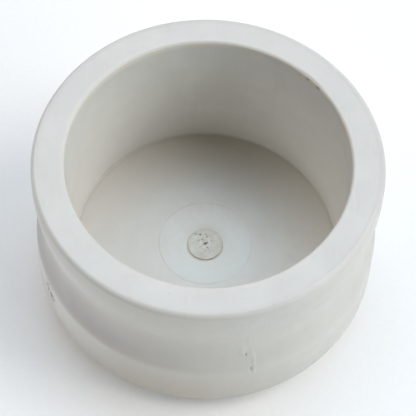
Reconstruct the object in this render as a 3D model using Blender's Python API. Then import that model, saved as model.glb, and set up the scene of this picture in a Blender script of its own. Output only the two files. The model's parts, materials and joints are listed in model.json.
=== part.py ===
"""Solvent-weld end cap for 63 mm pressure pipe.

A thick one-piece moulding, open at the top: a plain round socket inside, a flat
annular rim, and outside a collar round the mouth, a shallow waist that flares into
a slightly wider band round the closed end. The trimmed stub of the moulding gate
stands on the socket floor, very nearly in its middle.

Metres, +Z up out of the mouth, origin at the centre of the underside.
"""
import math

import bmesh
import bpy
from mathutils import Vector

# Driving dimensions: the pipe that fits, how far it goes in, and the walls round it
PIPE_OD = 0.063
SOCKET_DEPTH = 0.0378
END_WALL = 0.0062
COLLAR_WALL = 0.0075
BAND_WALL = 0.00855

# Outside form, as depths below the mouth and steps from the collar's radius
COLLAR_LENGTH = 0.0079
WAIST_STEP = -0.00115
WAIST_TOP_DEPTH = 0.0132
WAIST_END_DEPTH = 0.0174
FLARE_MIDDLE_STEP = -0.00021
FLARE_MIDDLE_DEPTH = 0.0227
BAND_TOP_STEP = 0.00074
BAND_TOP_DEPTH = 0.0269
BAND_WIDEST_DEPTH = 0.0350

# Edge roundings
MOUTH_OUTER_ROUND = 0.0014
MOUTH_INNER_ROUND = 0.0005
FLOOR_CORNER_ROUND = 0.0005
BASE_ROUND = 0.0060

# Gate stub on the socket floor, a little off the axis
GATE_R = 0.0043
GATE_OFFSET = Vector((0.0, -0.0005, 0.0))
GATE_PROUD = 0.0004
GATE_SEAT_DEPTH = 0.0010
GATE_EDGE_BEVEL = 0.00015
CLEARANCE = 0.0003

SEGMENTS = 96
SHARP_ANGLE = math.radians(35)

# Worked out from the driving dimensions
SOCKET_R = PIPE_OD / 2
HEIGHT = END_WALL + SOCKET_DEPTH
COLLAR_R = SOCKET_R + COLLAR_WALL
BAND_R = SOCKET_R + BAND_WALL


def clear_scene():
    for obj in list(bpy.data.objects):
        bpy.data.objects.remove(obj, do_unlink=True)


def plastic(name, colour, roughness):
    material = bpy.data.materials.new(name)
    material.use_nodes = True
    shader = material.node_tree.nodes["Principled BSDF"]
    shader.inputs["Base Color"].default_value = (*colour, 1.0)
    shader.inputs["Roughness"].default_value = roughness
    shader.inputs["Metallic"].default_value = 0.0
    return material


def arc(centre, radius, start, end, steps):
    """Points of an arc in the (radius, height) plane, angles in degrees from +radius."""
    points = []
    for i in range(steps + 1):
        angle = math.radians(start + (end - start) * i / steps)
        points.append((centre[0] + radius * math.cos(angle),
                       centre[1] + radius * math.sin(angle)))
    return points


def turned(name, profile, material):
    """A closed solid of revolution about Z from (radius, height) points."""
    bm = bmesh.new()
    verts = [bm.verts.new((r, 0.0, z)) for r, z in profile]
    edges = [bm.edges.new(pair) for pair in zip(verts, verts[1:])]
    bmesh.ops.spin(bm, geom=verts + edges, cent=(0, 0, 0), axis=(0, 0, 1),
                   angle=2 * math.pi, steps=SEGMENTS)
    bmesh.ops.remove_doubles(bm, verts=bm.verts, dist=1e-6)
    bmesh.ops.recalc_face_normals(bm, faces=bm.faces)
    mesh = bpy.data.meshes.new(name)
    bm.to_mesh(mesh)
    bm.free()
    mesh.materials.append(material)
    mesh.shade_smooth()
    mesh.set_sharp_from_angle(angle=SHARP_ANGLE)
    obj = bpy.data.objects.new(name, mesh)
    bpy.context.collection.objects.link(obj)
    return obj


def socket_profile():
    """From the axis out over the gate seat and the floor, then up the socket wall."""
    seat_r = GATE_R + CLEARANCE
    floor_corner = (SOCKET_R - FLOOR_CORNER_ROUND, END_WALL + FLOOR_CORNER_ROUND)
    mouth_edge = (SOCKET_R + MOUTH_INNER_ROUND, HEIGHT - MOUTH_INNER_ROUND)
    seat = [(0.0, END_WALL - GATE_SEAT_DEPTH),
            (seat_r, END_WALL - GATE_SEAT_DEPTH),
            (seat_r, END_WALL)]
    return (seat
            + arc(floor_corner, FLOOR_CORNER_ROUND, -90, 0, 3)
            + arc(mouth_edge, MOUTH_INNER_ROUND, 180, 90, 3))


def outside_profile():
    """From the rim down over the collar, the waist and the band to the underside."""
    rim_edge = (COLLAR_R - MOUTH_OUTER_ROUND, HEIGHT - MOUTH_OUTER_ROUND)
    base_edge = (BAND_R - BASE_ROUND, BASE_ROUND)
    flanks = [(COLLAR_R, HEIGHT - COLLAR_LENGTH),
              (COLLAR_R + WAIST_STEP, HEIGHT - WAIST_TOP_DEPTH),
              (COLLAR_R + WAIST_STEP, HEIGHT - WAIST_END_DEPTH),
              (COLLAR_R + FLARE_MIDDLE_STEP, HEIGHT - FLARE_MIDDLE_DEPTH),
              (COLLAR_R + BAND_TOP_STEP, HEIGHT - BAND_TOP_DEPTH),
              (BAND_R, HEIGHT - BAND_WIDEST_DEPTH)]
    return (arc(rim_edge, MOUTH_OUTER_ROUND, 90, 0, 5)
            + flanks
            + arc(base_edge, BASE_ROUND, 0, -90, 9)
            + [(0.0, 0.0)])


def make_cap_body():
    """The body, with the gate's seat moved to where the gate really stands."""
    shell = plastic("cap_plastic", (0.72, 0.73, 0.71), 0.42)
    body = turned("cap_body", socket_profile() + outside_profile(), shell)
    for vertex in body.data.vertices:
        in_seat = math.hypot(vertex.co.x, vertex.co.y) < GATE_R + 2 * CLEARANCE
        if in_seat and 0.0 < vertex.co.z < END_WALL + CLEARANCE:
            vertex.co += GATE_OFFSET
    return body


def make_gate_stub():
    bottom = END_WALL - GATE_SEAT_DEPTH + CLEARANCE
    top = END_WALL + GATE_PROUD
    rough = plastic("gate_plastic", (0.55, 0.52, 0.44), 0.75)
    profile = [(0.0, top),
               (GATE_R - GATE_EDGE_BEVEL, top),
               (GATE_R, top - GATE_EDGE_BEVEL),
               (GATE_R, bottom),
               (0.0, bottom)]
    stub = turned("gate_stub", profile, rough)
    stub.location = GATE_OFFSET
    return stub


clear_scene()
make_cap_body()
make_gate_stub()
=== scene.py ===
"""Looks of the moulded pipe cap: detailed surface, materials, floor, light, camera."""
import json
import math

import bpy
import numpy as np
from mathutils import Euler, Matrix, Vector, noise


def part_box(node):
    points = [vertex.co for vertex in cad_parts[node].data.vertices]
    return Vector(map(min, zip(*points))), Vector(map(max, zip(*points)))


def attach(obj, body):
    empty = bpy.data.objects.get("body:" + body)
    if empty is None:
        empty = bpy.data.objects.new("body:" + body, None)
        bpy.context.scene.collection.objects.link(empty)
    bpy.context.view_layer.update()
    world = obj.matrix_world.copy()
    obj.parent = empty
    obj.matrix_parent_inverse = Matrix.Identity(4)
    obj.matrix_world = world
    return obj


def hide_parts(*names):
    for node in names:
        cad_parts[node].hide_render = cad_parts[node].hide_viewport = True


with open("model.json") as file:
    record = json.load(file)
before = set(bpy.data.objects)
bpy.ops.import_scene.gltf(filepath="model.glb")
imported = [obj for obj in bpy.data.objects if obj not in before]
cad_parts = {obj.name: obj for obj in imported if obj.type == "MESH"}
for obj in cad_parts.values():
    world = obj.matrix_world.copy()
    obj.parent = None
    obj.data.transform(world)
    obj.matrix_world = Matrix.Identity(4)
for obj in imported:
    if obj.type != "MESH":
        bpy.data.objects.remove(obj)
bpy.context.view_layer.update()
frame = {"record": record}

MM = 0.001

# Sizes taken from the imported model
MOUNTS = {mount["name"]: Vector(mount["pos_m"]) for mount in frame["record"]["mounts"]}
BODY_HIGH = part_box("cap_body")[1]
STUB_LOW, STUB_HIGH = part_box("gate_stub")
HEIGHT = BODY_HIGH.z
BAND_R = BODY_HIGH.x
FLOOR_Z = MOUNTS["pipe_stop"].z
GATE_R = (STUB_HIGH.x - STUB_LOW.x) / 2

# Socket radius, and how far the rim's edges, the base and the floor corner are rounded
SOCKET_R = BAND_R - 8.55 * MM
MOUTH_ROUND = 0.70 * MM
RIM_EDGE = 1.35 * MM
RIM_OUTER = BAND_R - 2.45 * MM
BASE_ROUND = 6.0 * MM
FLOOR_CORNER = 0.25 * MM

# Seat for the gate's spigot, and the gate's own middle
SEAT_DEPTH = 0.3 * MM
SEAT_R = GATE_R - 0.5 * MM
GATE_SHIFT = (STUB_LOW + STUB_HIGH) / 2

# Outside form, in mm: step from the band's radius, depth below the rim
COLLAR = [(-1.11, 1.35), (-1.06, 2.2), (-1.02, 3.3), (-1.02, 4.6), (-1.07, 6.4)]
LIP = [(-1.16, 7.9), (-1.31, 9.2), (-1.54, 10.5), (-1.83, 11.9)]
WAIST = [(-2.07, 13.2), (-2.20, 14.5), (-2.23, 15.8), (-2.15, 17.4), (-1.95, 19.2),
         (-1.65, 21.0), (-1.26, 22.7), (-0.90, 24.0), (-0.60, 25.1), (-0.41, 26.0)]
BAND = [(-0.31, 26.9), (-0.26, 28.0), (-0.20, 30.5), (-0.10, 33.0), (-0.02, 35.5),
        (0.0, 38.0)]

# Witness rings of the mould's insert on the socket floor
WITNESS_R = 11.25 * MM
SECOND_WITNESS_R = 10.85 * MM
WITNESS_ZONE = (10.6 * MM, 11.6 * MM)


# ---------------------------------------------------------------- section

def arc(centre, radius, start, end, steps):
    """Points of an arc in the (radius, height) plane, angles in degrees."""
    points = []
    for i in range(steps + 1):
        angle = math.radians(start + (end - start) * i / steps)
        points.append((centre[0] + radius * math.cos(angle),
                       centre[1] + radius * math.sin(angle)))
    return points


def line(start, end, pitch):
    """Points from start to end, both included, no further apart than pitch."""
    length = math.dist(start, end)
    steps = max(1, math.ceil(length / pitch))
    return [(start[0] + (end[0] - start[0]) * i / steps,
             start[1] + (end[1] - start[1]) * i / steps) for i in range(steps + 1)]


def smooth(points, pitch):
    """A Catmull-Rom curve through the points, about pitch between its points."""
    padded = [points[0]] + list(points) + [points[-1]]
    out = []
    for a, b, c, d in zip(padded, padded[1:], padded[2:], padded[3:]):
        steps = max(1, math.ceil(math.dist(b, c) / pitch))
        for i in range(steps):
            t = i / steps
            out.append(tuple(0.5 * (2 * q + (r - p) * t
                                    + (2 * p - 5 * q + 4 * r - s) * t * t
                                    + (3 * q - p - 3 * r + s) * t ** 3)
                             for p, q, r, s in zip(a, b, c, d)))
    return out + [points[-1]]


def floor_section():
    """Socket floor from the axis out: the seat of the gate's spigot, then the flat
    floor, which runs on under the gate's edge, with close rows at the witness rings."""
    seat_z = FLOOR_Z - SEAT_DEPTH
    ring_in, ring_out = WITNESS_ZONE
    return ([(0.0, seat_z)]
            + line((0.5 * MM, seat_z), (SEAT_R, seat_z), 1.0 * MM)
            + [(SEAT_R, FLOOR_Z - 0.1 * MM)]
            + line((SEAT_R + 0.1 * MM, FLOOR_Z), (ring_in, FLOOR_Z), 0.25 * MM)[:-1]
            + line((ring_in, FLOOR_Z), (ring_out, FLOOR_Z), 0.07 * MM)[:-1]
            + line((ring_out, FLOOR_Z), (SOCKET_R - FLOOR_CORNER, FLOOR_Z), 0.45 * MM))


def bore_section():
    """Floor corner, socket wall and the rounded inner edge of the mouth."""
    wall_top = HEIGHT - MOUTH_ROUND
    corner = (SOCKET_R - FLOOR_CORNER, FLOOR_Z + FLOOR_CORNER)
    return (arc(corner, FLOOR_CORNER, -75, 0, 5)
            + line((SOCKET_R, FLOOR_Z + 1 * MM), (SOCKET_R, wall_top - 3 * MM), 0.8 * MM)
            + line((SOCKET_R, wall_top - 2.8 * MM), (SOCKET_R, wall_top - 0.2 * MM),
                   0.2 * MM)
            + arc((SOCKET_R + MOUTH_ROUND, wall_top), MOUTH_ROUND, 180, 90, 8))


def rim_section():
    """Flat rim, out to where its outer edge starts to round."""
    inner = SOCKET_R + MOUTH_ROUND
    return line((inner + 0.3 * MM, HEIGHT), (RIM_OUTER - 0.3 * MM, HEIGHT), 0.3 * MM)


def outside_section():
    """Rounded rim edge, collar, its undercut lip, hollow waist, band, rounded base."""
    def placed(pairs):
        return [(BAND_R + step * MM, HEIGHT - depth * MM) for step, depth in pairs]
    below_collar = [COLLAR[-1]] + LIP + WAIST + BAND
    return (arc((RIM_OUTER, HEIGHT - RIM_EDGE), RIM_EDGE, 90, 0, 10)[:-1]
            + smooth(placed(COLLAR), 0.35 * MM)[:-1]
            + smooth(placed(below_collar), 0.3 * MM)[:-1]
            + arc((BAND_R - BASE_ROUND, BASE_ROUND), BASE_ROUND, 0, -90, 20))


def underside_section():
    """The flat underside, from inside the rounded base to the axis."""
    edge = BAND_R - BASE_ROUND - 1.2 * MM
    return line((edge, 0.0), (1.5 * MM, 0.0), 1.3 * MM) + [(0.0, 0.0)]


def body_section():
    """The whole body, from the axis in the socket round to the axis underneath."""
    return (floor_section() + bore_section() + rim_section() + outside_section()
            + underside_section())


# ---------------------------------------------------------------- meshes

def column_angles(count, windows):
    """Angles in degrees round the part, evenly spaced, with finer steps in windows."""
    angles = []
    angle = -180.0
    while angle < 180.0 - 1e-6:
        angles.append(angle)
        step = 360.0 / count
        for low, high, fine in windows:
            if low <= angle < high:
                step = min(step, fine)
        angle += step
    if 180.0 - angles[-1] < 180.0 / count:
        angles.pop()
    return angles


# Point attributes that the materials read, in the order in which marks() gives them
# Of these, the third is painted light and painted shade, the fifth a painted cool sheen,
# the fourth brown stain and painted warm shade, and the second real wear and a painted
# highlight
MARKS = ("dirt", "wear_and_highlight", "painted_shading", "stain_and_warm_shade", "painted_cool_sheen")


def marks(dirt=0.0, wear_and_highlight=0.0, painted_shading=0.0, stain_and_warm_shade=0.0, painted_cool_sheen=0.0):
    """How dirty a point is, and how much wear and painted highlight, painted light (above
    zero) and painted shade (below), brown stain and painted warm shade, and painted cool
    sheen it has.
    """
    return dirt, wear_and_highlight, painted_shading, stain_and_warm_shade, painted_cool_sheen


def lathe(name, section, angles, relief):
    """Turns the section round Z. Angle 0 faces -Y, and angles grow towards +X.
    relief(angle, r, z) gives the height out of the surface and the marks at a point."""
    section = np.array(section)
    tangent = np.gradient(section, axis=0)
    tangent /= np.linalg.norm(tangent, axis=1)[:, None]
    normal = np.stack([-tangent[:, 1], tangent[:, 0]], axis=1)
    rows = section[1:-1]
    row_normals = normal[1:-1]
    verts = [(0.0, 0.0, section[0][1])]
    marked = [marks()]
    for (r, z), (nr, nz) in zip(rows, row_normals):
        for angle in angles:
            height, mark = relief(angle, r, z)
            radius, turn = r + nr * height, math.radians(angle)
            verts.append((radius * math.sin(turn), -radius * math.cos(turn),
                          z + nz * height))
            marked.append(mark)
    verts.append((0.0, 0.0, section[-1][1]))
    marked.append(marks())
    n, last = len(angles), len(verts) - 1
    faces = [(0, 1 + j, 1 + (j + 1) % n) for j in range(n)]
    for i in range(len(rows) - 1):
        here, there = 1 + i * n, 1 + (i + 1) * n
        faces += [(here + j, there + j, there + (j + 1) % n, here + (j + 1) % n)
                  for j in range(n)]
    final = 1 + (len(rows) - 1) * n
    faces += [(last, final + (j + 1) % n, final + j) for j in range(n)]
    mesh = bpy.data.meshes.new(name)
    mesh.from_pydata(verts, [], faces)
    mesh.update()
    for k, label in enumerate(MARKS):
        layer = mesh.attributes.new(label, "FLOAT", "POINT")
        layer.data.foreach_set("value", [mark[k] for mark in marked])
    mesh.shade_smooth()
    mesh.set_sharp_from_angle(angle=math.radians(50))
    obj = bpy.data.objects.new(name, mesh)
    bpy.context.collection.objects.link(obj)
    return obj


# ---------------------------------------------------------------- surface relief

# Angles are in degrees from the camera's side towards +X, and lengths in mm.

# Nicks in the outside wall: angle, depth below the rim, half length, half width, cut
NICKS = [(14.9, 20.8, 0.85, 0.18, 0.22), (16.4, 26.0, 1.15, 0.18, 0.24)]
# Lips pushed up beside them, and dents and drawn lines (below zero): angle, depth
# below the rim, half length, half width, height
LIPS = [(13.6, 19.4, 1.9, 0.50, 0.10), (16.7, 20.3, 1.4, 0.30, 0.10),
        (17.5, 22.9, 1.9, 0.35, 0.12), (17.5, 26.6, 1.7, 0.30, 0.14),
        (15.9, 15.2, 2.2, 0.60, 0.05), (16.9, 32.2, 4.2, 0.12, -0.05),
        (-13.9, 24.5, 2.8, 0.30, -0.05), (0.9, 27.0, 0.7, 0.35, -0.06),
        (12.2, 4.2, 1.8, 0.16, -0.04), (14.6, 4.8, 2.3, 0.14, -0.05),
        (19.2, 5.0, 1.5, 0.16, -0.04), (17.3, 9.0, 2.6, 0.20, -0.04)]
# Notches in the mouth's inner edge: angle, depth below the rim, half width, cut
NOTCHES = [(136.4, 1.1, 0.40, 0.35), (130.2, 1.0, 0.50, 0.40)]
# Scrape along the same edge: angle, half width in degrees
SCRAPE = (134.8, 7.5)
# Scuffed patch on the band: angle, half width in degrees, depth below the rim, half height
SCUFF_SIDE, SCUFF_DEPTH, SCUFF_HALF_HEIGHT = (-62.4, 3.6), 31.2, 3.4
# Finer columns over all of these: from, to, step
FINE_COLUMNS = [(10.0, 20.5, 0.25), (-16.0, -12.0, 0.4), (-69.0, -54.0, 0.3),
                (126.0, 143.0, 0.3)]

# The rim has painted shade and a painted cool sheen, and more of both at its outer edge
RIM_PAINTED_SHADE, RIM_PAINTED_SHEEN = -0.28, 0.09
EDGE_PAINTED_SHADE, EDGE_PAINTED_SHEEN = 0.45, 0.24

# How far the outside and the mouth's edge are set in, which keeps their waves and
# lips within the CAD model's box
OUTSIDE_SINK, MOUTH_SINK = 0.05, 0.02

# Borders between the zones of the surface
UNDERSIDE_TOP = 0.05 * MM
OUTSIDE_FROM_R = RIM_OUTER + 0.2 * MM
MOUTH_TO_R = SOCKET_R + 1.2 * MM
MOUTH_FROM_Z = HEIGHT - 6 * MM
RIM_FROM_Z = HEIGHT - 0.01 * MM
WALL_FROM_R = SOCKET_R - 0.3 * MM
FLOOR_FROM_R = SEAT_R + 0.3 * MM
FLOOR_FROM_Z = FLOOR_Z - 0.05 * MM


def bell(x):
    """1 at zero, falling away smoothly on both sides of it."""
    return math.exp(-x * x)


def turn_distance(angle, other):
    """Signed turn in degrees from other to angle, the shorter way round."""
    return (angle - other + 180.0) % 360.0 - 180.0


def arc_length(angle, other, r):
    """Signed length in mm along the surface from other to angle."""
    return math.radians(turn_distance(angle, other)) * r / MM


def wander(angle, r, z, scale, seed):
    """Smooth noise about zero, as a function of the point on the part."""
    turn = math.radians(angle)
    point = Vector((r * math.sin(turn), -r * math.cos(turn), z)) * scale
    return noise.noise(point + Vector((seed, 0.0, 0.0)))


def ramp(x, low, high):
    """0 at low and before it, 1 at high and past it, a straight line between them.
    It falls where high is the smaller of the two."""
    return min(1.0, max(0.0, (x - low) / (high - low)))


def facing(angle, other, half_width):
    """1 at the given angle, falling away smoothly on both sides of it."""
    return bell(turn_distance(angle, other) / half_width)


def outside_painted_shading(angle, r, z, depth):
    """Painted shade (below zero) on the waist's lower slope, most of it on the left,
    and painted light (above zero) on the lip and the band there. The foot of the
    near side, the right side and the rim's edge there get painted shade."""
    not_behind = ramp(angle, -150.0, -95.0)
    left = 0.12 + 0.88 * ramp(angle, 8.0, -32.0) * not_behind
    far_left = ramp(angle, -22.0, -55.0) * not_behind
    patchy = (1.0 + 0.5 * wander(angle, r, z, 60.0, 81.0)
              + 0.25 * wander(angle, r, z, 210.0, 83.0))
    slope = ramp(depth, 15.5, 22.5) * ramp(depth, 26.8, 25.0 - 0.6 * far_left)
    on_lip = bell((depth - 9.0) / 4.8)
    on_band = ramp(depth, 26.2, 27.6) * ramp(depth, 41.0, 33.0)
    # Painted shade on the near foot, on the right side and on the rim's edge to the right
    foot_shade = 0.35 * ramp(depth, 28.0, 38.0) * facing(angle, -5.0, 45.0)
    painted_shade = 0.60 * facing(angle, 88.0, 26.0)
    painted_shade += 0.65 * bell((depth - 0.12) / 0.16) * facing(angle, 35.0, 45.0)
    # Painted light on the lip and the band on the left, painted shade on the waist's slope
    painted_light = (0.30 * left + 0.75 * far_left) * (on_lip + on_band)
    return painted_light - 1.2 * left * slope * patchy - foot_shade - painted_shade


def painted_edge_share(angle):
    """How much painted cool highlight and painted shade the rim's outer edge gets; it gets
    them on the left only.
    """
    return facing(angle, -40.0, 42.0)


def outside_painted_warm_shade(angle, depth):
    """Brown painted warm shade: some on the near side, more towards the base, in
    the crease above the band and under the rim's edge."""
    near = facing(angle, -10.0, 28.0) * (0.25 + 0.55 * ramp(depth, 26.0, 37.0))
    crease = 0.45 * bell((depth - 25.2) / 1.1) * facing(angle, -32.0, 26.0)
    under_rim = 0.35 * bell((depth - 0.95) / 0.50) * painted_edge_share(angle)
    return min(1.0, near + crease + under_rim + 0.04)


def outside_relief(angle, r, z):
    """Rim's outer edge, collar, waist, band and base, with their nicks and scuff."""
    depth = (HEIGHT - z) / MM
    height = (0.045 * wander(angle, r, z, 55.0, 3.0)
              + 0.012 * wander(angle, r, z, 260.0, 9.0))
    dirt = 0.0
    for at, middle, half_length, half_width, cut in NICKS:
        across = arc_length(angle, at, r)
        shape = bell(across / half_width) * bell((depth - middle) / half_length) ** 2
        height -= cut * shape
        dirt = max(dirt, 0.5 * shape)
    for at, middle, half_length, half_width, rise in LIPS:
        across = arc_length(angle, at, r)
        height += rise * bell(across / half_width) * bell((depth - middle) / half_length)
    scuff = facing(angle, *SCUFF_SIDE) * bell((depth - SCUFF_DEPTH) / SCUFF_HALF_HEIGHT)
    if scuff > 0.05:
        worn = scuff * ramp(wander(angle, r, z, 1350.0, 6.0), 0.00, 0.26)
        height -= 0.06 * worn
        dirt = max(dirt, 0.95 * worn)
    # A painted cool sheen at the top of the rim's outer edge, more of it on the left
    painted_cool_sheen = (RIM_PAINTED_SHEEN + EDGE_PAINTED_SHEEN * painted_edge_share(angle)) * ramp(depth, 0.45, 0.10)
    return height, marks(dirt=dirt, painted_shading=outside_painted_shading(angle, r, z, depth),
                         stain_and_warm_shade=outside_painted_warm_shade(angle, depth), painted_cool_sheen=painted_cool_sheen)


def corner_painted_shade(r, z):
    """Painted shade in the corner between the socket's floor and its wall."""
    off = math.hypot(max(0.0, SOCKET_R - r), max(0.0, z - FLOOR_Z)) / MM
    return bell(off / 0.55)


def floor_painted_shading(angle, r, cloudy, inside):
    """The floor has painted light inside the witness ring and towards the right front,
    and painted shade behind the gate and towards the wall."""
    painted_shading = (0.20 * ramp(r, 18 * MM, 11 * MM) + 0.10 * inside) * cloudy
    painted_shading += 0.38 * facing(angle, 35.0, 65.0) * ramp(r, 4.6 * MM, 8 * MM)
    painted_shading -= 0.55 * facing(angle, 158.0, 30.0) * ramp(r, 8 * MM, 12.5 * MM)
    painted_shading -= 0.33 * facing(angle, -155.0, 75.0) * ramp(r, 4.5 * MM, 6 * MM)
    return painted_shading - 0.35 * ramp(r, 14 * MM, 24 * MM)


def floor_relief(angle, r, z):
    """Socket floor: broken witness rings, a brown halo behind the gate, and a brown
    crescent of painted shadow where the near side of the gate meets the floor."""
    ring = bell((r - WITNESS_R) / (0.16 * MM))
    second = bell((r - SECOND_WITNESS_R) / (0.12 * MM)) * facing(angle, 170.0, 55.0)
    broken = ramp(wander(angle, r, z, 160.0, 31.0), -0.85, 0.15)
    cloudy = (1.0 + wander(angle, r, z, 130.0, 43.0)
              + 0.5 * wander(angle, r, z, 700.0, 45.0))
    inside = ramp(r, WITNESS_R + 0.4 * MM, WITNESS_R - 0.2 * MM)
    from_gate = (r - GATE_R) / MM
    halo = facing(angle, 175.0, 62.0) * ramp(from_gate, 2.2, 0.1)
    smear = 0.6 * bell((from_gate - 0.4) / 0.5) * max(0.0, wander(angle, r, z, 800.0, 41.0))
    wide = 0.18 * facing(angle, -50.0, 30.0)
    # A painted shadow in brown along the near side of the gate
    gate_shadow = 0.95 * facing(angle, -18.0, 66.0) * ramp(from_gate, 0.42 + wide, 0.22 + wide)

    height = 0.02 * wander(angle, r, z, 90.0, 21.0)
    height -= (0.07 * ring + 0.04 * second) * broken
    painted_shading = floor_painted_shading(angle, r, cloudy, inside) - 0.35 * halo - corner_painted_shade(r, z)
    # Painted shade in the witness rings on their far side
    painted_shading -= (0.30 * ring + 0.15 * second) * broken * facing(angle, 165.0, 75.0)
    stain_and_warm_shade = max(0.55 * halo + smear * halo, gate_shadow, 0.30 * ring * broken)
    # Painted warm shade in brown on the floor towards the far wall
    stain_and_warm_shade += 0.70 * ramp(r, 15 * MM, 29 * MM) * facing(angle, 180.0, 62.0)
    # A painted cool sheen on the middle of the floor and on its near side
    painted_cool_sheen = (0.22 + 0.16 * inside * cloudy) * ramp(r, 22 * MM, 12 * MM)
    painted_cool_sheen += 0.10 * facing(angle, 0.0, 60.0)
    return height, marks(painted_shading=painted_shading, stain_and_warm_shade=min(1.0, stain_and_warm_shade), painted_cool_sheen=min(0.7, painted_cool_sheen))


def bore_painted_shading(angle, depth):
    """The wall has painted light on the left and low down, and painted shade near the
    mouth on the right."""
    low = ramp(depth, 6.0, 32.0)
    left, right = facing(angle, -95.0, 48.0), facing(angle, 122.0, 52.0)
    return 0.50 * left - 0.60 * right * (1.0 - low) + low * (0.10 + 0.60 * right)


def bore_relief(angle, r, z):
    """Socket wall and the mouth's inner edge, which is worn down on the far left, and
    notched and scraped on the far right."""
    depth = (HEIGHT - z) / MM
    out_from_wall = (r - SOCKET_R) / MM
    height = 0.02 * wander(angle, r, z, 70.0, 13.0)
    dirt = 0.0
    for at, middle, half_width, cut in NOTCHES:
        shape = bell(arc_length(angle, at, r) / half_width) * bell((depth - middle) / 0.45)
        height -= cut * shape
        dirt = max(dirt, 0.6 * shape)
    worn_side = facing(angle, -145.0, 60.0)
    height -= (0.23 * worn_side * bell(max(0.0, depth - 0.45) / 0.80)
               * ramp(out_from_wall, 0.75, 0.30))
    scrape = facing(angle, *SCRAPE)
    cut_line = scrape * (bell((depth - 0.42) / 0.07) + bell((out_from_wall - 0.85) / 0.07))
    height -= 0.05 * cut_line
    soil_and_side_shade = scrape * bell((out_from_wall - 0.58) / 0.25)
    dirt = max(dirt, 0.28 * soil_and_side_shade, 0.3 * min(1.0, cut_line))
    stain_and_warm_shade = max(soil_and_side_shade, 0.45 * bell((depth - 0.95) / 0.75) * facing(angle, 150.0, 45.0))
    # A cream painted highlight round the mouth's inner edge, with real wear on the far left
    highlight_and_wear = bell((depth - 0.35) / 0.30) * (0.50 + 0.7 * wander(angle, r, z, 160.0, 17.0))
    highlight_and_wear = max(highlight_and_wear, 0.9 * worn_side * bell((depth - 0.85) / 0.5))
    # Painted light and shade on the wall, and the rim's painted shade and cool sheen on the
    # mouth's top
    rim_share = ramp(out_from_wall, 0.14, 0.48)
    painted_shading = bore_painted_shading(angle, depth) * (1.0 - rim_share) + RIM_PAINTED_SHADE * rim_share
    return height, marks(dirt=dirt, wear_and_highlight=max(0.0, highlight_and_wear) * (1.0 - 0.7 * rim_share),
                         painted_shading=painted_shading - corner_painted_shade(r, z), stain_and_warm_shade=stain_and_warm_shade,
                         painted_cool_sheen=RIM_PAINTED_SHEEN * rim_share)


def rim_relief(angle, r, z):
    """Flat rim: barely wavy, with a few specks, painted shade and a painted cool sheen, and
    more painted shade at its outer edge and on the right.
    """
    height = 0.012 * wander(angle, r, z, 120.0, 51.0) - 0.015
    speck = max(0.0, wander(angle, r, z, 520.0, 61.0) - 0.58) * 0.8
    edge = ramp(r, RIM_OUTER - 0.5 * MM, RIM_OUTER + 0.2 * MM)
    painted_shading = RIM_PAINTED_SHADE - 0.10 * facing(angle, 60.0, 80.0) - EDGE_PAINTED_SHADE * edge
    painted_cool_sheen = RIM_PAINTED_SHEEN + EDGE_PAINTED_SHEEN * painted_edge_share(angle) * edge
    return height, marks(dirt=speck, painted_shading=painted_shading, painted_cool_sheen=painted_cool_sheen)


def body_relief(angle, r, z):
    """Height out of the surface in metres and the marks on it, by the point's zone."""
    if z < UNDERSIDE_TOP:
        return 0.0, marks()
    if r > OUTSIDE_FROM_R:
        height, mark = outside_relief(angle, r, z)
        ease = min(1.0, z / (3 * MM)) * min(1.0, (HEIGHT - z) / (0.8 * MM))
        rim_ease = min(1.0, (HEIGHT - z) / (0.3 * MM))
        return (height * ease - OUTSIDE_SINK) * MM * rim_ease, mark
    if z > MOUTH_FROM_Z and r < MOUTH_TO_R:
        height, mark = bore_relief(angle, r, z)
        return min(0.0, height - MOUTH_SINK) * MM, mark
    if z > RIM_FROM_Z:
        height, mark = rim_relief(angle, r, z)
        return height * MM, mark
    if r > WALL_FROM_R and z > FLOOR_Z:
        height, mark = bore_relief(angle, r, z)
        return height * MM, mark
    if r > FLOOR_FROM_R and z > FLOOR_FROM_Z:
        height, mark = floor_relief(angle, r, z)
        return height * MM, mark
    return 0.0, marks()


def shift_to_gate(vertex):
    """Moves the seat and the floor next to it to the gate's own middle."""
    if FLOOR_Z - 1 * MM < vertex.co.z < FLOOR_Z + 0.5 * MM:
        share = ramp(math.hypot(vertex.co.x, vertex.co.y), 10 * MM, 6 * MM)
        vertex.co.x += GATE_SHIFT.x * share
        vertex.co.y += GATE_SHIFT.y * share


def make_body(material):
    """The cap's body, which stands for the CAD one."""
    angles = column_angles(320, FINE_COLUMNS)
    body = lathe("moulded_cap", body_section(), angles, body_relief)
    for vertex in body.data.vertices:
        shift_to_gate(vertex)
    body.data.materials.append(material)
    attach(body, "root")
    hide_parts("cap_body")


# Holes torn in the gate, in mm from its middle: x, y, radius, depth, how dirty
PITS = [(0.00, 0.18, 0.27, 0.42, 1.0), (0.46, 0.38, 0.16, 0.20, 0.8),
        (-1.33, 2.57, 0.22, 0.24, 0.75), (0.05, 2.60, 0.17, 0.12, 0.55),
        (0.32, 1.98, 0.18, 0.14, 0.55), (-2.55, 2.68, 0.20, 0.10, 0.45),
        (-2.10, 2.55, 0.16, 0.10, 0.40), (-1.55, 0.75, 0.24, 0.08, 0.3),
        (-0.78, 1.25, 0.20, 0.10, 0.50), (-0.55, 0.80, 0.14, 0.08, 0.4),
        (1.32, 0.88, 0.18, 0.10, 0.45), (1.62, 0.60, 0.13, 0.08, 0.35),
        (0.60, -0.98, 0.18, 0.12, 0.60), (0.18, -1.02, 0.13, 0.10, 0.40),
        (-0.92, -0.80, 0.15, 0.08, 0.30), (0.95, 2.30, 0.13, 0.08, 0.35)]
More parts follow.
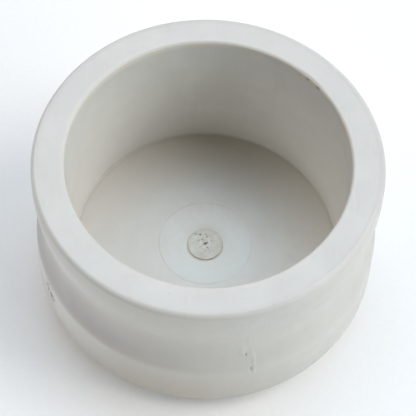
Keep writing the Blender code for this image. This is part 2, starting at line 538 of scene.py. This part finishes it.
# Ring of torn plastic round the main hole: radius, and its middle's y, in mm
TORN_RING_R, TORN_RING_Y = 1.15, 0.2
GATE_TOP = FLOOR_Z + 0.45 * MM
GATE_FOOT = FLOOR_Z + 0.01 * MM
SPIGOT_END = FLOOR_Z - 0.2 * MM


def gate_relief(angle, r, z):
    """Torn top with holes, flakes and ribs at its right edge; below it, a side painted
    brown as shade.
    """
    if z < GATE_TOP - 0.2 * MM:
        # The gate's side is painted brown as shade
        soil_and_side_shade = 0.85 if r > GATE_R - 0.1 * MM else 0.0
        return 0.02 * wander(angle, r, z, 900.0, 2.0) * MM, marks(stain_and_warm_shade=soil_and_side_shade)
    turn = math.radians(angle)
    x, y = r * math.sin(turn) / MM, -r * math.cos(turn) / MM
    coarse, fine = wander(angle, r, z, 650.0, 71.0), wander(angle, r, z, 1900.0, 72.0)
    height = 0.13 * coarse + 0.06 * fine - 0.12
    from_hole = math.hypot(x, y - TORN_RING_Y)
    lip = bell((from_hole - TORN_RING_R) / 0.28) * ramp(coarse + 0.6 * fine, -0.35, 0.25)
    height += 0.14 * lip - 0.10 * bell((from_hole - 0.70) / 0.20)
    ribs = facing(angle, 92.0, 26.0) * bell((r / MM - 3.8) / 0.40)
    height += 0.06 * ribs * math.sin(math.radians(angle) * 62.0)
    flakes = ramp(wander(angle, r, z, 2500.0, 75.0), 0.30, 0.55) * bell(from_hole / 2.8)
    height -= 0.05 * flakes
    dirt = 0.40 * flakes
    for px, py, radius, depth, dark in PITS:
        shape = bell(math.hypot(x - px, y - py) / radius)
        height -= depth * shape
        dirt = max(dirt, dark * min(1.0, 1.3 * shape))
    edge = ramp((GATE_R - r) / MM, 0.45, 0.10) * ramp(coarse, -0.5, 0.4)
    far_edge = facing(angle, 170.0, 55.0) * ramp((GATE_R - r) / MM, 1.1, 0.2)
    stain_and_warm_shade = min(1.0, 0.45 * edge + 0.9 * far_edge + 0.6 * ribs + 0.35 * max(0.0, coarse))
    return min(0.0, height) * MM, marks(dirt=dirt, wear_and_highlight=lip, stain_and_warm_shade=stain_and_warm_shade)


def make_gate(material):
    """The gate: its torn top, its side, and the spigot down into the floor's seat."""
    bevel, spigot_r = 0.12 * MM, SEAT_R - 0.1 * MM
    section = ([(0.0, GATE_TOP)]
               + line((0.08 * MM, GATE_TOP), (GATE_R - 0.22 * MM, GATE_TOP), 0.09 * MM)
               + arc((GATE_R - bevel, GATE_TOP - bevel), bevel, 90, 0, 4)
               + line((GATE_R, GATE_TOP - 0.2 * MM), (GATE_R, GATE_FOOT), 0.08 * MM)
               + line((GATE_R - 0.05 * MM, GATE_FOOT), (spigot_r, GATE_FOOT), 0.2 * MM)
               + line((spigot_r, SPIGOT_END), (0.5 * MM, SPIGOT_END), 0.8 * MM)
               + [(0.0, SPIGOT_END)])
    stub = lathe("torn_gate", section, column_angles(240, []), gate_relief)
    for vertex in stub.data.vertices:
        vertex.co.x += GATE_SHIFT.x
        vertex.co.y += GATE_SHIFT.y
    stub.data.materials.append(material)
    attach(stub, "root")
    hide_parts("gate_stub")


# ---------------------------------------------------------------- materials

# The body's plastic, with its streaks and stains, and the colours of its painted light and
# shade
DARK_GREY, LIGHT_GREY = (0.655, 0.63, 0.575, 1), (0.71, 0.682, 0.623, 1)
BLOTCH_GREY = (0.63, 0.60, 0.545, 1)
DRAG_GREY = (0.58, 0.55, 0.49, 1)
FLOW_GREY = (0.60, 0.565, 0.51, 1)
SCRATCH_WHITE = (0.80, 0.82, 0.82, 1)
# Colours of painted shade, painted light and a painted cool sheen
PAINTED_SHADE_GREY = (0.45, 0.425, 0.41, 1)
PAINTED_LIGHT_WHITE = (0.86, 0.84, 0.785, 1)
PAINTED_SHEEN_GREY = (0.70, 0.74, 0.72, 1)
# Brown of stains and of painted warm shade
BROWN_STAIN_AND_SHADE = (0.58, 0.52, 0.43, 1)
SPECK_BROWN = (0.30, 0.26, 0.20, 1)
# Cream of wear and of a painted highlight
CREAM_WEAR_AND_HIGHLIGHT = (0.81, 0.725, 0.58, 1)
DIRT_BROWN = (0.10, 0.075, 0.055, 1)
SCATTER_WEIGHT, SCATTER_RADIUS = 0.06, (0.0012, 0.0012, 0.0010)

# The gate's torn plastic
TORN_LIGHT, TORN_DARK = (0.68, 0.665, 0.61, 1), (0.60, 0.58, 0.52, 1)
TORN_FLECK = (0.44, 0.40, 0.33, 1)
TORN_RING = (0.86, 0.85, 0.80, 1)
HOLE_BROWN = (0.095, 0.030, 0.010, 1)

# The floor under the part, which glows a little so that it stays pale
PAPER_DARK, PAPER_LIGHT = (0.89, 0.878, 0.855, 1), (0.915, 0.903, 0.88, 1)
PAPER_GLOW = 0.05


class Graph:
    """Adds nodes to a material, and links them through their sockets' names."""

    def __init__(self, name):
        self.material = bpy.data.materials.new(name)
        self.material.use_nodes = True
        self.nodes = self.material.node_tree.nodes
        self.links = self.material.node_tree.links
        self.shader = self.nodes["Principled BSDF"]

    def put(self, value, socket):
        if isinstance(value, bpy.types.NodeSocket):
            self.links.new(value, socket)
        else:
            socket.default_value = value

    def add(self, kind, out=0, options=(), **inputs):
        """A new node with the given settings and inputs; gives its output out."""
        node = self.nodes.new("ShaderNode" + kind)
        for key, value in options:
            setattr(node, key, value)
        for key, value in inputs.items():
            self.put(value, node.inputs[key.replace("_", " ")])
        return node.outputs[out]

    def math(self, operation, a, b=0.0, clamp=False):
        node = self.nodes.new("ShaderNodeMath")
        node.operation = operation
        node.use_clamp = clamp
        for value, socket in zip((a, b), node.inputs):
            self.put(value, socket)
        return node.outputs[0]

    def times(self, a, b):
        """a times b, kept between 0 and 1."""
        return self.math("MULTIPLY", a, b, clamp=True)

    def place(self, scale=(1.0, 1.0, 1.0), turn=(0.0, 0.0, 0.0)):
        """Object coordinates, stretched and turned."""
        coordinates = self.add("TexCoord", out="Object")
        return self.add("Mapping", Vector=coordinates, Scale=scale, Rotation=turn)

    def noise(self, vector, scale, detail, roughness):
        return self.add("TexNoise", Vector=vector, Scale=scale, Detail=detail,
                        Roughness=roughness)

    def ramp(self, value, low, high, start=0.0, end=1.0):
        """start at low, end at high, a straight line between them."""
        node = self.nodes.new("ShaderNodeMapRange")
        for socket, given in zip(node.inputs, (value, low, high, start, end)):
            self.put(given, socket)
        return node.outputs[0]

    def mix(self, factor, a, b):
        node = self.nodes.new("ShaderNodeMix")
        node.data_type = "RGBA"
        for label, value in (("Factor_Float", factor), ("A_Color", a), ("B_Color", b)):
            socket = next(s for s in node.inputs if s.identifier == label)
            self.put(value, socket)
        return next(s for s in node.outputs if s.identifier == "Result_Color")

    def attribute(self, name):
        return self.add("Attribute", out="Fac", options=[("attribute_name", name)])

    def bump(self, height, strength, distance, below=None):
        inputs = {"Height": height, "Strength": strength, "Distance": distance}
        if below is not None:
            inputs["Normal"] = below
        return self.add("Bump", **inputs)

    def finish(self, colour, roughness, normal):
        self.put(colour, self.shader.inputs["Base Color"])
        self.put(roughness, self.shader.inputs["Roughness"])
        self.put(normal, self.shader.inputs["Normal"])
        return self.material


def scratches(graph, scale, turn, width):
    """Thin straight scratches in one direction: the crests of a stretched noise."""
    stretched = graph.place((scale, scale * 0.02, scale * 0.3), turn)
    field = graph.noise(stretched, 1.0, 2.0, 0.5)
    crest = graph.math("ABSOLUTE", graph.math("SUBTRACT", field, 0.5))
    return graph.ramp(crest, 0.0, width, 1.0, 0.0)


def moulded_plastic():
    """Light grey rigid plastic: mottled, drawn along the mould, scratched and soiled.
    The marks of the surface and its painted light and shade come in through the attributes."""
    g = Graph("moulded_grey")
    everywhere = g.place()
    mottle = g.noise(everywhere, 45.0, 4.0, 0.6)
    blotch = g.noise(everywhere, 160.0, 3.0, 0.6)
    drag = g.noise(g.place((420.0, 420.0, 26.0)), 1.0, 3.0, 0.6)
    flow = g.noise(g.place((22.0, 22.0, 240.0)), 1.0, 3.0, 0.55)
    grain = g.noise(everywhere, 2600.0, 2.0, 0.6)
    base = g.mix(g.ramp(mottle, 0.35, 0.65), DARK_GREY, LIGHT_GREY)
    base = g.mix(g.ramp(blotch, 0.42, 0.72, 0.0, 0.50), base, BLOTCH_GREY)
    base = g.mix(g.ramp(drag, 0.50, 0.80, 0.0, 0.22), base, DRAG_GREY)
    base = g.mix(g.ramp(flow, 0.45, 0.70, 0.0, 0.15), base, FLOW_GREY)
    scored = g.math("MAXIMUM", scratches(g, 300.0, (0.3, 0.2, 0.6), 0.012),
                    scratches(g, 360.0, (0.1, 0.4, -0.9), 0.010))
    patchy = g.times(scored, g.ramp(blotch, 0.52, 0.68))
    base = g.mix(g.times(patchy, 0.35), base, SCRATCH_WHITE)
    painted_shading = g.attribute("painted_shading")
    # Painted shade, painted light and a painted cool sheen, then brown stain and painted
    # warm shade
    base = g.mix(g.ramp(painted_shading, 0.0, -1.2, 0.0, 0.66), base, PAINTED_SHADE_GREY)
    base = g.mix(g.ramp(painted_shading, 0.0, 1.0, 0.0, 0.75), base, PAINTED_LIGHT_WHITE)
    base = g.mix(g.attribute("painted_cool_sheen"), base, PAINTED_SHEEN_GREY)
    base = g.mix(g.attribute("stain_and_warm_shade"), base, BROWN_STAIN_AND_SHADE)
    specks = g.ramp(g.noise(everywhere, 900.0, 1.0, 0.4), 0.78, 0.84)
    base = g.mix(g.times(specks, 0.15), base, SPECK_BROWN)
    # Cream of wear and of a painted highlight
    base = g.mix(g.times(g.attribute("wear_and_highlight"), 0.70), base, CREAM_WEAR_AND_HIGHLIGHT)
    dirt = g.attribute("dirt")
    base = g.mix(g.ramp(dirt, 0.05, 0.9, 0.0, 0.85), base, DIRT_BROWN)
    rough = g.ramp(blotch, 0.3, 0.7, 0.38, 0.50)
    rough = g.math("ADD", rough, g.times(patchy, 0.15))
    rough = g.math("ADD", rough, g.times(dirt, 0.30), clamp=True)
    normal = g.bump(grain, 0.25, 0.00002)
    normal = g.bump(drag, 0.20, 0.00006, normal)
    normal = g.bump(blotch, 0.20, 0.00010, normal)
    normal = g.bump(patchy, 0.25, 0.00002, normal)
    g.put(SCATTER_WEIGHT, g.shader.inputs["Subsurface Weight"])
    g.put(SCATTER_RADIUS, g.shader.inputs["Subsurface Radius"])
    return g.finish(base, rough, normal)


def torn_plastic():
    """The gate's torn face: beige grey, rough, paler where it tore, soiled in its holes."""
    g = Graph("torn_beige")
    everywhere = g.place()
    coarse = g.noise(everywhere, 700.0, 4.0, 0.65)
    fine = g.noise(everywhere, 3200.0, 3.0, 0.6)
    base = g.mix(g.ramp(coarse, 0.35, 0.65), TORN_LIGHT, TORN_DARK)
    base = g.mix(g.ramp(fine, 0.55, 0.72, 0.0, 0.45), base, TORN_FLECK)
    base = g.mix(g.times(g.attribute("wear_and_highlight"), 0.75), base, TORN_RING)
    # Brown stain, and painted shade on the gate's side
    base = g.mix(g.times(g.attribute("stain_and_warm_shade"), 0.8), base, BROWN_STAIN_AND_SHADE)
    dirt = g.attribute("dirt")
    base = g.mix(g.ramp(dirt, 0.06, 0.80, 0.0, 0.97), base, HOLE_BROWN)
    g.put(g.ramp(dirt, 0.1, 0.7, 0.5, 0.05), g.shader.inputs["Specular IOR Level"])
    rough = g.ramp(coarse, 0.3, 0.7, 0.55, 0.80)
    normal = g.bump(coarse, 0.5, 0.00008)
    normal = g.bump(fine, 0.4, 0.00003, normal)
    return g.finish(base, rough, normal)


def floor_paper():
    """Plain pale floor with a faint grain."""
    g = Graph("floor_white")
    fibres = g.noise(g.place(), 900.0, 3.0, 0.6)
    base = g.mix(g.ramp(fibres, 0.3, 0.7), PAPER_DARK, PAPER_LIGHT)
    g.put((1.0, 1.0, 1.0, 1.0), g.shader.inputs["Emission Color"])
    g.put(PAPER_GLOW, g.shader.inputs["Emission Strength"])
    return g.finish(base, 0.65, g.bump(fibres, 0.05, 0.00005))


# ---------------------------------------------------------------- stage

# Camera: height angle, roll, lens in mm, the point it looks at and how far off it is
ELEVATION = math.radians(59.3)
ROLL = math.radians(2.34)
LENS = 121.15
AIM = Vector((0.00031, 0.0, HEIGHT - 21.36 * MM))
DISTANCE = 0.3242

FLOOR_HALF = 1.5

# Softboxes: name, azimuth, elevation, power, colour. Azimuth 0 is the camera's side,
# and it grows towards the right.
SOFTBOX_DISTANCE, SOFTBOX_SIZE = 1.2, 0.7
SOFTBOXES = [("back", 165, 68, 5.05, (0.67, 0.835, 1.0)),
             ("back_left", 220, 48, 2.9, (0.90, 0.905, 1.0)),
             ("left", 266, 48, 2.9, (1.0, 0.955, 0.86)),
             ("front_left", 308, 25, 2.6, (0.83, 0.88, 1.0)),
             ("front_right", 60, 25, 5.05, (0.77, 0.915, 1.0)),
             ("right", 94, 48, 8.6, (1.0, 0.98, 0.98))]


def make_camera():
    """The photo's view: from in front and above, rolled a little."""
    data = bpy.data.cameras.new("camera")
    data.lens = LENS
    data.sensor_width = 36.0
    camera = bpy.data.objects.new("camera", data)
    bpy.context.collection.objects.link(camera)
    back = Vector((0.0, -math.cos(ELEVATION), math.sin(ELEVATION)))
    turn = Euler((math.pi / 2 - ELEVATION, 0.0, 0.0)).to_matrix()
    camera.matrix_world = (Matrix.Translation(AIM + back * DISTANCE)
                           @ (turn @ Matrix.Rotation(ROLL, 3, "Z")).to_4x4())
    bpy.context.scene.camera = camera


def make_floor():
    """A large square of paper under the part."""
    mesh = bpy.data.meshes.new("floor")
    half = FLOOR_HALF
    mesh.from_pydata([(-half, -half, 0), (half, -half, 0), (half, half, 0),
                      (-half, half, 0)], [], [(0, 1, 2, 3)])
    floor = bpy.data.objects.new("floor", mesh)
    bpy.context.collection.objects.link(floor)
    mesh.materials.append(floor_paper())


def softbox(name, azimuth, elevation, power, colour):
    """A square area light that faces the part."""
    data = bpy.data.lights.new(name, "AREA")
    data.shape = "SQUARE"
    data.size = SOFTBOX_SIZE
    data.energy = power
    data.color = colour
    light = bpy.data.objects.new(name, data)
    bpy.context.collection.objects.link(light)
    turn, tilt = math.radians(azimuth), math.radians(elevation)
    place = Vector((math.sin(turn) * math.cos(tilt), -math.cos(turn) * math.cos(tilt),
                    math.sin(tilt)))
    light.location = place * SOFTBOX_DISTANCE
    light.rotation_euler = place.to_track_quat("Z", "Y").to_euler()


def make_dark_world():
    """A world that gives no light: all of it comes from the softboxes."""
    world = bpy.data.worlds.new("studio")
    bpy.context.scene.world = world
    world.use_nodes = True
    world.node_tree.nodes["Background"].inputs["Strength"].default_value = 0.0


bpy.context.scene.view_settings.view_transform = "Standard"
make_body(moulded_plastic())
make_gate(torn_plastic())
make_camera()
make_floor()
for box in SOFTBOXES:
    softbox(*box)
make_dark_world()
